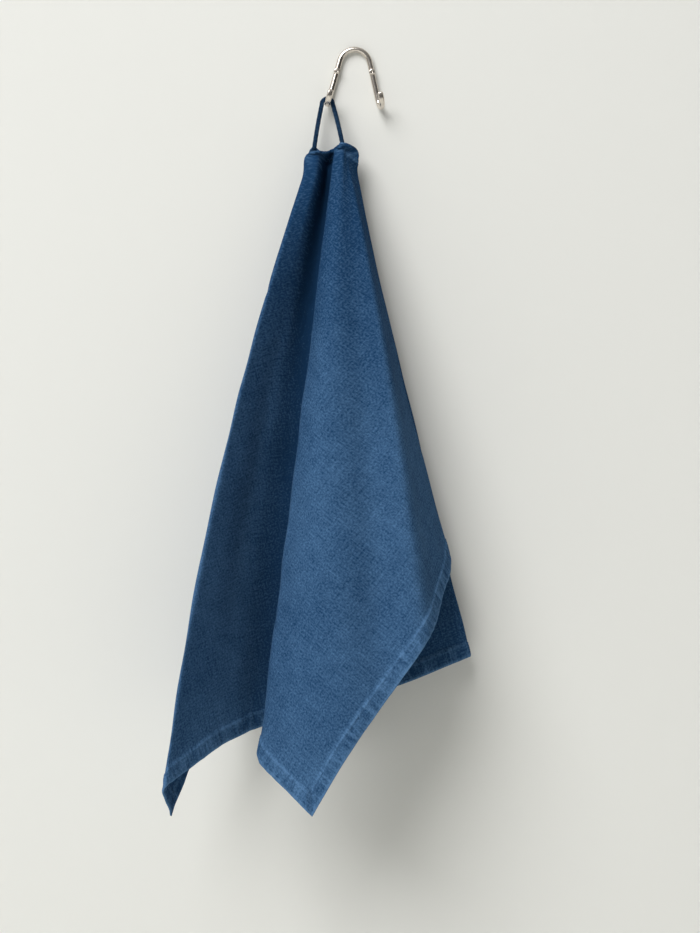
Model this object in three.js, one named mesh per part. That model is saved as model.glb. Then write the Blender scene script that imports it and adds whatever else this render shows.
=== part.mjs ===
import * as THREE from 'three';

// A tea towel hanging by its sewn loop from one arm of a double wall hook.
// Millimetres, +Z up, X along the wall, -Y out into the room.
// The origin is on the wall plane, behind the top of the hook's arch.

// Laid flat, the towel is a rectangle of WIDTH by DROP with the loop at the middle of its upper
// long hem. A place on the cloth is named by theta, the angle in degrees from straight down at
// the loop, and rho, the distance from the loop along the cloth.
const WIDTH = 700;
const DROP = 500;
const CLOTH = 1.4;
const HEM_WIDTH = 13;
const HEM_THICK = 2.2;

// The piece of the upper hem between the loop's two ends, and how far it sinks and sets back.
const LOOP_SPAN = 28;
const HEM_LEFT = { x: -37.2, y: -17, z: -92 };
const HEM_RIGHT = { x: -11.4, y: -17, z: -87 };
const HEM_DIP = 6;
const HEM_BACK = 3;

// One row for each fold, from the left end of the upper hem to its right end. Bend is the
// half width of its round in degrees. Near, mid and low are the fold's [x, y] at the three
// distances of REACH, and lost is the length that the gathers at the collar take up, or what the
// cloth gives on the slant where minus.
const REACH = [40, 220, 500];
const FOLDS = [
  { at: 'hem left', theta: -90, bend: 2, near: [-44, -7], mid: [-54, -5], low: [-100, -5], lost: 4 },
  { at: 'back out', theta: -70, bend: 1, near: [-21, -5], mid: [28, -5], low: [92, -5], lost: 6 },
  { at: 'back in', theta: -68, bend: 1, near: [-21, -10], mid: [28, -11], low: [92, -13], lost: 6 },
  { at: 'left return', theta: -45, bend: 2.5, near: [-43, -14], mid: [-70, -14], low: [-112, -20], lost: 0 },
  { at: 'ridge back', theta: -32, bend: 0.6, near: [-49, -36], mid: [-98, -67],
    low: [-151, -122], lost: -4 },
  { at: 'ridge fore', theta: -31, bend: 0.6, near: [-47, -38], mid: [-96, -69],
    low: [-149, -124], lost: -4 },
  { at: 'left lobe', theta: -24, bend: 2, near: [-34, -38], mid: [-71, -42], low: [-109, -68], lost: 1 },
  { at: 'left valley', theta: -19, bend: 3, near: [-29, -16.5], mid: [-53, -23], low: [-80, -28], lost: 5 },
  { at: 'right back', theta: 3, bend: 0.5, near: [-6, -13.8], mid: [38, -17.5], low: [103, -19], lost: 25 },
  { at: 'right fore', theta: 4, bend: 0.5, near: [-6, -16.4], mid: [38, -20.7], low: [103, -23], lost: 25 },
  { at: 'front edge', theta: 27, bend: 2.5, near: [-22, -36], mid: [-45, -55], low: [-84, -90], lost: 14 },
  { at: 'front corner', theta: 34.6, bend: 4, near: [-13, -45], mid: [-29, -82], low: [-38, -138], lost: 5 },
  { at: 'soft crease', theta: 47, bend: 2.5, near: [-4, -38], mid: [29, -79], low: [65, -134], lost: 5 },
  { at: 'right edge', theta: 61, bend: 2.5, near: [3, -21], mid: [42, -32], low: [124, -32], lost: 2 },
  { at: 'pocket turn', theta: 80, bend: 2.5, near: [-10, -27], mid: [-26, -53], low: [-52, -88], lost: 4 },
  { at: 'hem right', theta: 90, bend: 2, near: [-5, -27], mid: [2, -66], low: [0, -116], lost: 4 },
];

// Soft unevenness over the folds: out is how far it swells into the room, or sinks where minus,
// and aside how far it moves to the right, over wide degrees and long millimetres either way.
const SWELLS = [
  { at: 'trough by the crease', theta: 42, rho: 400, wide: 2.4, long: 170, out: -6 },
  { at: 'crest of the crease', theta: 47, rho: 330, wide: 1.6, long: 210, out: 3 },
  { at: 'upper face', theta: 36, rho: 190, wide: 5, long: 90, out: 3 },
  { at: 'left panel hollow', theta: -25, rho: 330, wide: 2.2, long: 130, out: -4 },
  { at: 'left panel swell', theta: -22, rho: 520, wide: 2.6, long: 70, out: 4 },
  { at: 'lower face', theta: 31, rho: 540, wide: 3, long: 60, out: 3 },
  { at: 'left roll of the collar', theta: -34, rho: 14, wide: 11, long: 12, out: 1, aside: -5.5 },
  { at: 'right roll of the collar', theta: 62, rho: 16, wide: 13, long: 13, out: 0, aside: 5.5 },
];

// The folds form within SPREAD of the hem, and what the gathers take is lost by about GATHER.
// No bend turns within less than TIGHTEST.
const SPREAD = 6;
const GATHER = 60;
const TIGHTEST = 1.3;

// The cloth's mesh: the widest step between folds in degrees, and its rows down the cloth.
const WIDEST_STEP = 4;
const NARROW_BEND = 1.5;
const ROWS = 26;
const ROW_GROWTH = 1.6;
const LENGTH_STEPS = 60;

// The hook is one bar: an arch, two legs that spread, and a finger that turns up on each. Foot is
// how far below the arch's top an arm reaches, and splay how far outwards its finger stands.
const BAR = 5.2;
const BAR_FLAT = 0.5;
const BAR_SIDES = 16;
const ARCH_RADIUS = 14;
const LEG_SPREAD = THREE.MathUtils.degToRad(14);
const LEFT_ARM = { hand: -1, foot: 52.5, splay: -0.4 };
const RIGHT_ARM = { hand: 1, foot: 54, splay: 2.4 };
const FINGER_BEND = 8.5;
const FINGER_RISE = 2.2;
const HOOK_TILT = THREE.MathUtils.degToRad(1.6);

// The two screw heads that show on the legs, seated on the bar.
const SCREW_DROP = 20.4;
const SCREW_RADIUS = 2.9;
const SCREW_HEIGHT = 1.6;

// The loop is a narrow sewn tape that hangs over the left finger's bend and bows a little.
const TAPE_WIDE = 4.2;
const TAPE_DEEP = 3.2;
const TAPE_SIDES = 12;
const TAPE_BOW = 0.4;
const GAP = 0.3;

const nickel = new THREE.MeshStandardMaterial({ color: 0xc9c5bd, roughness: 0.18, metalness: 1 });
const blueCloth = new THREE.MeshStandardMaterial({ color: 0x27496f, roughness: 0.92, metalness: 0 });
const blueTape = new THREE.MeshStandardMaterial({ color: 0x1f3f66, roughness: 0.9, metalness: 0 });

const radians = THREE.MathUtils.degToRad;

// A bend's share of the turn: nothing before it, straight after it, a parabola within it.
function bend(past, round) {
  if (past <= -round) return 0;
  return past >= round ? past : (past + round) ** 2 / (4 * round);
}

// For each panel between two folds, how much of it lies before theta: 0 to 1, round at the folds.
function passedPanels(theta, rho) {
  const tightest = THREE.MathUtils.radToDeg(TIGHTEST / Math.max(rho, TIGHTEST));
  const runs = FOLDS.map((row, i) => (
    i === 0 ? theta - row.theta : bend(theta - row.theta, Math.max(row.bend, tightest))
  ));
  runs[FOLDS.length - 1] = 0;
  return FOLDS.slice(1).map((row, i) => (runs[i] - runs[i + 1]) / (row.theta - FOLDS[i].theta));
}

// A column of the fold table, with the panels passed so far.
function acrossFolds(passed, column) {
  return passed.reduce(
    (value, share, i) => value + share * (column(FOLDS[i + 1]) - column(FOLDS[i])),
    column(FOLDS[0]),
  );
}

// The curve through the three values that a fold has at the distances of REACH.
function downFold(rho, [near, mid, low]) {
  const [a, b, c] = REACH;
  return near * (rho - b) * (rho - c) / ((a - b) * (a - c))
    + mid * (rho - a) * (rho - c) / ((b - a) * (b - c))
    + low * (rho - a) * (rho - b) / ((c - a) * (c - b));
}

// How far the cloth reaches from the loop at theta: to its side hem or to its lower hem.
function reach(theta) {
  const side = WIDTH / 2 - LOOP_SPAN / 2 * Math.abs(theta) / 90;
  const toSide = side / Math.max(Math.abs(Math.sin(radians(theta))), 1e-9);
  const toBottom = DROP / Math.max(Math.cos(radians(theta)), 1e-9);
  return { rho: Math.min(toSide, toBottom), hem: HEM_WIDTH / (toSide < toBottom ? side : DROP) };
}

function swell(theta, rho) {
  return SWELLS.reduce((sum, { out, aside = 0, ...row }) => {
    const share = Math.exp(-(((theta - row.theta) / row.wide) ** 2) - ((rho - row.rho) / row.long) ** 2);
    return { out: sum.out + out * share, aside: sum.aside + aside * share };
  }, { out: 0, aside: 0 });
}

// The line that the cloth follows down from the upper hem at one theta.
function clothLine(theta) {
  const along = (theta + 90) / 180;
  const sag = Math.sin(Math.PI * along);
  const top = {
    x: HEM_LEFT.x + (HEM_RIGHT.x - HEM_LEFT.x) * along,
    y: HEM_LEFT.y + (HEM_RIGHT.y - HEM_LEFT.y) * along + HEM_BACK * sag,
    z: HEM_LEFT.z + (HEM_RIGHT.z - HEM_LEFT.z) * along - HEM_DIP * sag,
  };
  const plan = (rho) => {
    const passed = passedPanels(theta, rho);
    const formed = 1 - Math.exp(-rho / SPREAD);
    const { out, aside } = swell(theta, rho);
    const [x, y] = [0, 1].map((axis) => downFold(
      rho,
      ['near', 'mid', 'low'].map((reached) => acrossFolds(passed, (row) => row[reached][axis])),
    ));
    return {
      x: top.x + (x - top.x) * formed + aside,
      y: top.y + (y - top.y) * formed - out,
    };
  };
  // The length that is left after the sideways run is the drop.
  return (rho) => {
    const step = rho / LENGTH_STEPS;
    let z = top.z;
    let last = plan(0);
    for (let i = 1; i <= LENGTH_STEPS; i += 1) {
      const next = plan(step * i);
      const aside = (next.x - last.x) ** 2 + (next.y - last.y) ** 2;
      z -= Math.sqrt(Math.max(step ** 2 - aside, (step / 4) ** 2));
      last = next;
    }
    const lost = acrossFolds(passedPanels(theta, rho), (row) => row.lost);
    return new THREE.Vector3(last.x, last.y, z + lost * (1 - Math.exp(-rho / GATHER)));
  };
}

// The thetas of the mesh: three or five at each bend, the lower corners, and even steps between.
function clothThetas() {
  const corner = FOLDS.find((row) => row.at === 'front corner').theta;
  const marks = [-90, -corner, 90];
  FOLDS.slice(1, -1).forEach((row) => {
    const shares = row.bend > NARROW_BEND ? [-1, -0.5, 0, 0.5, 1] : [-1, 0, 1];
    shares.forEach((share) => marks.push(row.theta + share * row.bend));
  });
  const sorted = [...new Set(marks.map((mark) => Math.round(mark * 100) / 100))].sort((a, b) => a - b);
  return sorted.flatMap((mark, i) => {
    if (i === 0) return [mark];
    const count = Math.ceil((mark - sorted[i - 1]) / WIDEST_STEP);
    const span = mark - sorted[i - 1];
    return Array.from({ length: count }, (_, k) => sorted[i - 1] + span * (k + 1) / count);
  });
}

// A closed body from rings of points: walls between the rings and a flat fan over each end.
function ringBody(rings, capStart, capEnd) {
  const size = rings[0].length;
  const positions = rings.flat().flatMap((point) => [point.x, point.y, point.z]);
  const index = [];
  for (let j = 0; j + 1 < rings.length; j += 1) {
    for (let i = 0; i < size; i += 1) {
      const next = (i + 1) % size;
      const [a, b, c, d] = [j * size + i, j * size + next, (j + 1) * size + next, (j + 1) * size + i];
      index.push(a, b, c, a, c, d);
    }
  }
  const end = (rings.length - 1) * size;
  capStart(size).forEach(([a, b, c]) => index.push(a, b, c));
  capEnd(size).forEach(([a, b, c]) => index.push(end + a, end + b, end + c));
  const geometry = new THREE.BufferGeometry();
  geometry.setAttribute('position', new THREE.Float32BufferAttribute(positions, 3));
  geometry.setIndex(index);
  geometry.computeVertexNormals();
  return geometry;
}

// The towel: one sheet, its two faces half a thickness either side of the fold lines.
function towelGeometry() {
  const thetas = clothThetas();
  const nudge = 0.05;
  const columns = thetas.map((theta) => {
    const [line, before, after] = [theta, theta - nudge, theta + nudge].map(clothLine);
    const { rho: end, hem } = reach(theta);
    return Array.from({ length: ROWS + 1 }, (_, j) => {
      const share = j === ROWS ? 1 : Math.min((j / (ROWS - 1)) ** ROW_GROWTH, 1) * (1 - hem);
      const rho = end * share;
      const down = line(rho + nudge).sub(line(Math.max(rho - nudge, 0)));
      const probe = Math.max(rho, nudge);
      const aside = after(probe).sub(before(probe));
      const towardsWall = aside.cross(down).normalize();
      const half = (j >= ROWS - 1 ? HEM_THICK : CLOTH) / 2;
      const middle = line(rho);
      return [half, -half].map((offset) => middle.clone().addScaledVector(towardsWall, offset));
    });
  });
  const rings = Array.from({ length: ROWS + 1 }, (_, j) => [
    ...columns.map((column) => column[j][0]),
    ...columns.map((column) => column[j][1]).reverse(),
  ]);
  const strip = (size, flip) => Array.from({ length: size / 2 - 1 }, (_, i) => {
    const [a, b, c, d] = [i, i + 1, size - 2 - i, size - 1 - i];
    return flip ? [[a, c, b], [a, d, c]] : [[a, b, c], [a, c, d]];
  }).flat();
  return ringBody(rings, (size) => strip(size, true), (size) => strip(size, false));
}

// A bar or tape: an oval section carried along stations, each with its own two section axes.
function sweptGeometry(stations, section) {
  const rings = stations.map(({ at, side, back, scale = 1 }) => section.map(([across, deep]) => (
    at.clone().addScaledVector(side, across * scale).addScaledVector(back, deep * scale)
  )));
  const fan = (size, flip) => Array.from({ length: size - 2 }, (_, i) => (
    flip ? [0, i + 2, i + 1] : [0, i + 1, i + 2]
  ));
  return ringBody(rings, (size) => fan(size, true), (size) => fan(size, false));
}

function ovalSection(wide, deep, sides, flat = Infinity) {
  return Array.from({ length: sides }, (_, i) => {
    const turn = 2 * Math.PI * (i + 0.5) / sides;
    return [wide / 2 * Math.cos(turn), Math.min(deep / 2 * Math.sin(turn), flat)];
  });
}

// Half of the hook's bar, from the arch's top to a finger's tip.
function armStations({ hand, foot: footDepth, splay }) {
  const stations = [];
  const toWall = new THREE.Vector3(0, 1, 0);
  const axisY = BAR_FLAT - BAR / 2;
  const archSteps = 9;
  for (let i = 0; i <= archSteps; i += 1) {
    const turn = (Math.PI / 2 - LEG_SPREAD) * i / archSteps;
    const outward = new THREE.Vector3(hand * Math.sin(turn), 0, Math.cos(turn));
    const at = new THREE.Vector3(0, axisY, -ARCH_RADIUS).addScaledVector(outward, ARCH_RADIUS);
    stations.push({ at, side: outward, back: toWall });
  }
  const down = new THREE.Vector3(hand * Math.sin(LEG_SPREAD), 0, -Math.cos(LEG_SPREAD));
  const side = stations.at(-1).side;
  const legEnd = stations.at(-1).at;
  const legLength = (footDepth - FINGER_BEND + legEnd.z) / Math.cos(LEG_SPREAD);
  const bendStart = legEnd.clone().addScaledVector(down, legLength);
  const bendCentre = bendStart.clone().addScaledVector(toWall, -FINGER_BEND);
  const bendSteps = 12;
  for (let i = 0; i <= bendSteps; i += 1) {
    const turn = Math.PI * i / bendSteps;
    const back = toWall.clone().multiplyScalar(Math.cos(turn)).addScaledVector(down, Math.sin(turn));
    const at = bendCentre.clone().addScaledVector(back, FINGER_BEND);
    stations.push({ at: at.addScaledVector(side, splay * (1 - Math.cos(turn)) / 2), side, back });
  }
  const { at: foot, back } = stations.at(-1);
  const tips = [[0, 1], [0.55, 0.93], [0.85, 0.75], [1, 0.45]];
  tips.forEach(([rise, scale]) => {
    const at = foot.clone().addScaledVector(down, -FINGER_RISE - rise * BAR / 3);
    stations.push({ at, side, back, scale });
  });
  return stations;
}

function hookGeometry() {
  const stations = [...armStations(RIGHT_ARM).reverse(), ...armStations(LEFT_ARM).slice(1)];
  return sweptGeometry(stations, ovalSection(BAR, BAR, BAR_SIDES, BAR / 2 - BAR_FLAT));
}

function screwGeometry() {
  const domeSteps = 5;
  const profile = Array.from({ length: domeSteps + 1 }, (_, i) => {
    const turn = Math.PI / 2 * i / domeSteps;
    return new THREE.Vector2(SCREW_RADIUS * Math.cos(turn), SCREW_HEIGHT * Math.sin(turn));
  });
  return new THREE.LatheGeometry([new THREE.Vector2(0, 0), ...profile], BAR_SIDES);
}

// Where the left arm's bar is lowest, with the hook hung at its tilt.
function leftFoot() {
  const places = armStations(LEFT_ARM).map((station) => station.at);
  const lowest = places.reduce((low, at) => (at.z < low.z ? at : low));
  return lowest.clone().applyAxisAngle(new THREE.Vector3(0, 1, 0), HOOK_TILT);
}

// The loop's centre line: up from the hem's left end, over the bar and down to its right end.
function loopGeometry() {
  const foot = leftFoot();
  const wrap = BAR / 2 + GAP + TAPE_WIDE / 2;
  const overSteps = 8;
  const strandSteps = 7;
  const over = Array.from({ length: overSteps + 1 }, (_, i) => {
    const turn = Math.PI * i / overSteps;
    return new THREE.Vector3(foot.x - wrap * Math.cos(turn), foot.y, foot.z + wrap * Math.sin(turn));
  });
  const strand = (end, top, hand) => Array.from({ length: strandSteps }, (_, i) => {
    const share = i / strandSteps;
    const seat = new THREE.Vector3(end.x, end.y, end.z + CLOTH / 2 + GAP);
    const bow = TAPE_BOW * hand * Math.sin(Math.PI * share);
    return seat.lerp(top, share).add(new THREE.Vector3(bow, 0, 0));
  });
  const points = [
    ...strand(HEM_LEFT, over[0], -1),
    ...over,
    ...strand(HEM_RIGHT, over.at(-1), 1).reverse(),
  ];
  const toWall = new THREE.Vector3(0, 1, 0);
  const stations = points.map((at, i) => {
    const [before, after] = [Math.max(i - 1, 0), Math.min(i + 1, points.length - 1)];
    const along = points[after].clone().sub(points[before]).normalize();
    const side = along.clone().cross(toWall).normalize();
    return { at, side, back: along.clone().cross(side).normalize() };
  });
  return sweptGeometry(stations, ovalSection(TAPE_WIDE, TAPE_DEEP, TAPE_SIDES));
}

function part(name, geometry, material) {
  const mesh = new THREE.Mesh(geometry, material);
  mesh.name = name;
  return mesh;
}

function buildHook() {
  const hook = new THREE.Group();
  hook.add(part('hook', hookGeometry(), nickel));
  const screwX = ARCH_RADIUS * Math.cos(LEG_SPREAD)
    + (SCREW_DROP - ARCH_RADIUS * (1 - Math.sin(LEG_SPREAD))) * Math.tan(LEG_SPREAD);
  [['screw_left', -1], ['screw_right', 1]].forEach(([name, hand]) => {
    const screw = part(name, screwGeometry(), nickel);
    screw.rotation.x = Math.PI;
    screw.position.set(hand * screwX, -BAR + BAR_FLAT - GAP, -SCREW_DROP);
    hook.add(screw);
  });
  hook.rotation.y = HOOK_TILT;
  return hook;
}

const towelAndHook = new THREE.Group();
towelAndHook.add(buildHook());
towelAndHook.add(part('hanging_loop', loopGeometry(), blueTape));
towelAndHook.add(part('towel', towelGeometry(), blueCloth));

export default towelAndHook;
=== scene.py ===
"""A washed blue tea towel that hangs by its sewn loop from one arm of a double wall hook."""

import math

import bpy
import numpy as np
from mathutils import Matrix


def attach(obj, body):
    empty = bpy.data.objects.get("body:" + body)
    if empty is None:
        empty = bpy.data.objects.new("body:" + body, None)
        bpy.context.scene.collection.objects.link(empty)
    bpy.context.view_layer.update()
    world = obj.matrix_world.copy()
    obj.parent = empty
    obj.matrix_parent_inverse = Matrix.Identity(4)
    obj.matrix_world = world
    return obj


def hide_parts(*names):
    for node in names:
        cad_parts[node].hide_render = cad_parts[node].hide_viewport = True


bl_info = {
    "name": "Hung tea towel",
    "version": (1, 0, 0),
    "blender": (4, 5, 0),
    "location": "3D View > Sidebar > Tea Towel",
    "description": "Makes a hemmed tea towel, its hanging loop, its wall hook and a plain stage",
    "category": "Add Mesh",
}

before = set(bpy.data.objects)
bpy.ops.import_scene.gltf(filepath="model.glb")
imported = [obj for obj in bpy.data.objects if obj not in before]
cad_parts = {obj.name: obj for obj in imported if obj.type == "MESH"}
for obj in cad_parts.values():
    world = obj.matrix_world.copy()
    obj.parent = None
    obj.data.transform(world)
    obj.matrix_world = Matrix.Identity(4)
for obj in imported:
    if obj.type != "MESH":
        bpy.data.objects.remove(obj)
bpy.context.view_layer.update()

# Shapes are worked out in millimetres, +Z up, -Y out into the room, and kept in metres.
MM = 0.001

# The upper hem between the loop's two ends, and how far it sinks and sets back.
LOOP_SPAN = 28.0
HEM_LEFT = np.array([-37.2, -17.0, -92.0])
HEM_RIGHT = np.array([-11.4, -17.0, -87.0])
HEM_DIP = 6.0
HEM_BACK = 3.0

# One row a fold, from the left hem at -90 degrees to the right hem at 90: angle at the loop, half
# width of its round, where it runs (x, y) at each distance of REACH, and the length that the
# gathers take up.
REACH = (40.0, 220.0, 500.0)
FOLDS = (
    ("hem left", -90, 2, (-44, -7), (-54, -5), (-100, -5), 4),
    ("back out", -70, 1, (-21, -5), (28, -5), (92, -5), 6),
    ("back in", -68, 1, (-21, -10), (28, -11), (92, -13), 6),
    ("left return", -45, 2.5, (-43, -14), (-70, -14), (-112, -20), 0),
    ("ridge back", -32, 0.6, (-49, -36), (-98, -67), (-151, -122), -4),
    ("ridge fore", -31, 0.6, (-47, -38), (-96, -69), (-149, -124), -4),
    ("left lobe", -24, 2, (-34, -38), (-71, -42), (-109, -68), 1),
    ("left valley", -19, 3, (-29, -16.5), (-53, -23), (-80, -28), 5),
    ("right back", 3, 0.5, (-6, -13.8), (38, -17.5), (103, -19), 25),
    ("right fore", 4, 0.5, (-6, -16.4), (38, -20.7), (103, -23), 25),
    ("front edge", 27, 2.5, (-22, -36), (-45, -55), (-84, -90), 14),
    ("front corner", 34.6, 4, (-13, -45), (-29, -82), (-38, -138), 5),
    ("soft crease", 47, 2.5, (-4, -38), (29, -79), (65, -134), 5),
    ("right edge", 61, 2.5, (3, -21), (42, -32), (124, -32), 2),
    ("pocket turn", 80, 2.5, (-10, -27), (-26, -53), (-52, -88), 4),
    ("hem right", 90, 2, (-5, -27), (2, -66), (0, -116), 4),
)
ANGLES = [row[1] for row in FOLDS]
ROUNDS = [row[2] for row in FOLDS]
COLUMNS_X = [[row[k][0] for row in FOLDS] for k in (3, 4, 5)]
COLUMNS_Y = [[row[k][1] for row in FOLDS] for k in (3, 4, 5)]
LOST = [row[6] for row in FOLDS]

# Soft unevenness: angle, distance, half width in degrees, half length, height and shift aside.
SWELLS = (
    ("trough by the crease", 42, 400, 2.4, 170, -6, 0),
    ("crest of the crease", 47, 330, 1.6, 210, 3, 0),
    ("upper face", 36, 190, 5, 90, 3, 0),
    ("left panel hollow", -25, 330, 2.2, 130, -4, 0),
    ("left panel swell", -22, 520, 2.6, 70, 4, 0),
    ("lower face", 31, 540, 3, 60, 3, 0),
    ("left roll of the collar", -34, 14, 11, 12, 1, -5.5),
    ("right roll of the collar", 62, 16, 13, 13, 0, 5.5),
)

# The hem's roll at the collar: height, distance and half length of each band, the angles
# between which it shows, and how softly it starts and ends, in degrees.
ROLL_BANDS = ((7, 5, 4.5), (-4.5, 15, 4))
ROLL_SPANS = ((-45, -12), (30, 74))
ROLL_BLUR = 3

# Pressed creases on the flat cloth: from (u, v) to (u, v), half width and height in mm.
CREASES = (
    ("across the left panel", (-92, 118), (-20, 150), 3.2, -0.9),
    ("under it", (-104, 168), (-34, 182), 2.6, 0.7),
    ("across the front face", (88, 170), (196, 214), 3.4, 0.7),
    ("low on the front face", (150, 372), (262, 410), 3.0, -0.6),
    ("down the front face", (172, 300), (214, 452), 2.8, 0.8),
    ("near the back corner", (58, 430), (112, 486), 3.4, 0.9),
)

# How far from the loop the folds and their gathers form, and the least half round of a fold.
SPREAD = 6.0
GATHER = 60.0
TIGHTEST = 1.3

# Steps in which a length down the cloth is summed, and halvings that find a place's angle.
LENGTH_STEPS = 60
HALVINGS = 44

# How the grid's rows crowd to the loop, and the least angle between its lines, in degrees.
ROW_CROWDING = 1.45
LEAST_TURN = 0.06

# The hook: a round bar with a flat back, an arch, two spread legs and two upturned fingers. An
# arm is its hand, the depth of its foot below the arch's top and the splay of its finger.
BAR = 5.2
BAR_FLAT = 0.5
BAR_SIDES = 40
ARCH_RADIUS = 14.0
LEG_SPREAD = math.radians(14)
LEFT_ARM = (-1, 52.5, -0.4)
RIGHT_ARM = (1, 54.0, 2.4)
FINGER_BEND = 8.5
FINGER_RISE = 2.2
HOOK_TILT = math.radians(1.6)

# The screw heads: their distance below the arch's top, how far they sink into the bar and their
# seat by as much again, their rim's height, and their recess: its taper, and its depth at its
# side and at its middle.
SCREW_DROP = 20.4
SCREW_SINK = 0.1
SCREW_RIM = 0.35
SCREW_SIDES = 36
RECESS_TAPER = 0.92
RECESS_DEPTH = 1.3
RECESS_POINT = 1.4

# The loop's tape: how far its strands bow, its gap to the bar, and its rounded square section.
TAPE_BOW = 0.4
GAP = 0.3
TAPE_SIDES = 28
TAPE_STEPS = 24
TAPE_SQUARENESS = 3.4
TAPE_FULLNESS = 0.95

# The cloths: thread pitch and bump depth in metres, how far each is faded, and how light the
# sewing thread and the tape are beside the towel.
THREAD_PITCH = 0.0009
BUMP_DEPTH = 0.0011
TOWEL_FADING = 0.34
TAPE_FADING = 0.3
THREAD_FADING = 0.5
THREAD_SHARE = 0.95
TAPE_SHARE = 0.4

# How pale the cloth is rubbed at its edge, at the hem's inner line and along its folds, and how
# much painted shade darkens it at the gathers, deep in a fold and on its far side.
EDGE_WEAR = 0.75
HEM_WEAR = 0.35
FOLD_WEAR = 0.4
GATHER_PAINTED_SHADE = 0.34
HOLLOW_PAINTED_SHADE = 0.4
FAR_SIDE_PAINTED_SHADE = 0.3

# In metres: the light's place, aim and size, and the camera's place and half the height it sees.
KEY_PLACE = (-1.9, -3.2, 2.8)
KEY_AIM = (0, 0, -0.35)
KEY_SIZE = 3.4
CAMERA_PLACE = (-0.0046, -1.7, -0.381)
HALF_VIEW = 0.42685

# The backdrop's distance behind the wall plane, its half width and its top, and the floor's
# level and front edge.
BACKDROP_BEHIND = 1.0
BACKDROP_SIDE = 2600.0
BACKDROP_TOP = 2400.0
FLOOR = -950.0
FLOOR_FRONT = -3400.0


def size(name, text, value, low=0.0):
    """A length that a user may change."""
    return bpy.props.FloatProperty(
        name=name, description=text, default=value, min=low, unit="LENGTH", precision=4)


def color(name, text, value):
    """A colour that a user may change."""
    return bpy.props.FloatVectorProperty(
        name=name, description=text, default=value, size=3, min=0.0, max=1.0, subtype="COLOR")


class TowelSizes(bpy.types.PropertyGroup):
    """The cloth's sizes and its two blues."""

    width: size("Width", "Length of the hem that holds the loop", 0.7, 0.1)
    drop: size("Drop", "Length of the shorter side", 0.5, 0.1)
    cloth: size("Cloth", "Thickness of the cloth", 0.0011)
    hem_width: size("Hem width", "Width of the turned hem", 0.013)
    hem_thick: size("Hem thickness", "Thickness of the turned hem", 0.0022)
    stitch_inset: size("Stitch inset", "From the edge to the hem's stitching", 0.0115)
    stitch_length: size("Stitch length", "Length of one stitch", 0.0027)
    stitch_spacing: size("Stitch spacing", "From one stitch to the next", 0.0035)
    thread: size("Thread", "Thickness of the sewing thread", 0.0007)
    grid_turn: bpy.props.FloatProperty(
        name="Grid angle", description="Widest angle between grid lines, in degrees",
        default=0.62, min=0.2)
    grid_rows: bpy.props.IntProperty(
        name="Grid rows", description="Rows of the grid between the loop and the hem",
        default=96, min=20)
    deep: color("Deep blue", "Colour of unworn cloth", (0.010, 0.042, 0.108))
    pale: color("Pale blue", "Colour of worn cloth", (0.088, 0.19, 0.35))


class LoopSizes(bpy.types.PropertyGroup):
    """The hanging loop's tape."""

    wide: size("Width", "Width of the folded tape", 0.0042)
    thick: size("Thickness", "Thickness of the folded tape", 0.0032)
    seated: size("Seated", "How far its ends go below the hem's edge", 0.002)


class HookSizes(bpy.types.PropertyGroup):
    """The hook's screw heads and its metal."""

    screw_radius: size("Screw radius", "Radius of a screw head", 0.0029)
    screw_height: size("Screw height", "Height of a screw head", 0.0016)
    recess_radius: size("Recess radius", "Radius of the recess in a screw head", 0.0013)
    metal: color("Metal", "Colour of the polished nickel", (0.72, 0.66, 0.59))


class StageLooks(bpy.types.PropertyGroup):
    """The backdrop and the lights."""

    backdrop: color("Backdrop", "Colour of the pale backdrop and floor", (0.8, 0.8, 0.765))
    key: bpy.props.FloatProperty(
        name="Key light", description="Strength of the soft light from the upper left",
        default=212.0, min=0.0, unit="POWER")
    surround: bpy.props.FloatProperty(
        name="Surround", description="Strength of the light from all round, most from the upper left",
        default=0.16, min=0.0)


def fold_bend(past, half):
    """Nothing before a fold, straight after it, a parabola within it."""
    within = (past + half) ** 2 / (4 * half)
    return np.where(past <= -half, 0.0, np.where(past >= half, past, within))


def panels_passed(theta, rho):
    """How much of each panel between two folds lies before theta."""
    tightest = np.degrees(TIGHTEST / np.maximum(rho, TIGHTEST))
    runs = [theta - ANGLES[0]]
    for angle, half in zip(ANGLES[1:-1], ROUNDS[1:-1]):
        runs.append(fold_bend(theta - angle, np.maximum(half, tightest)))
    runs.append(np.zeros_like(theta))
    return [(runs[i] - runs[i + 1]) / (ANGLES[i + 1] - ANGLES[i]) for i in range(len(runs) - 1)]


def across_folds(passed, column):
    """A column of the fold table at the panels passed so far."""
    value = column[0]
    for i, share in enumerate(passed):
        value = value + share * (column[i + 1] - column[i])
    return value


def down_fold(rho, values):
    """The curve through a fold's three places."""
    a, b, c = REACH
    near, mid, low = values
    return (near * (rho - b) * (rho - c) / ((a - b) * (a - c))
            + mid * (rho - a) * (rho - c) / ((b - a) * (b - c))
            + low * (rho - a) * (rho - b) / ((c - a) * (c - b)))


def swell(theta, rho):
    """How far the cloth swells into the room, and how far it moves aside."""
    out, aside = np.zeros_like(theta), np.zeros_like(theta)
    for _, angle, reach, wide, long, high, shift in SWELLS:
        share = np.exp(-((theta - angle) / wide) ** 2 - ((rho - reach) / long) ** 2)
        out, aside = out + high * share, aside + shift * share
    return out, aside


def hood(theta, rho):
    """The hem's roll at the collar, from under which the front folds come out."""
    bands = sum(high * np.exp(-((rho - reach) / long) ** 2) for high, reach, long in ROLL_BANDS)
    spans = sum(1 / (1 + np.exp(-(theta - low) / ROLL_BLUR)) / (1 + np.exp((theta - high) / ROLL_BLUR))
                for low, high in ROLL_SPANS)
    return bands * spans


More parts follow.
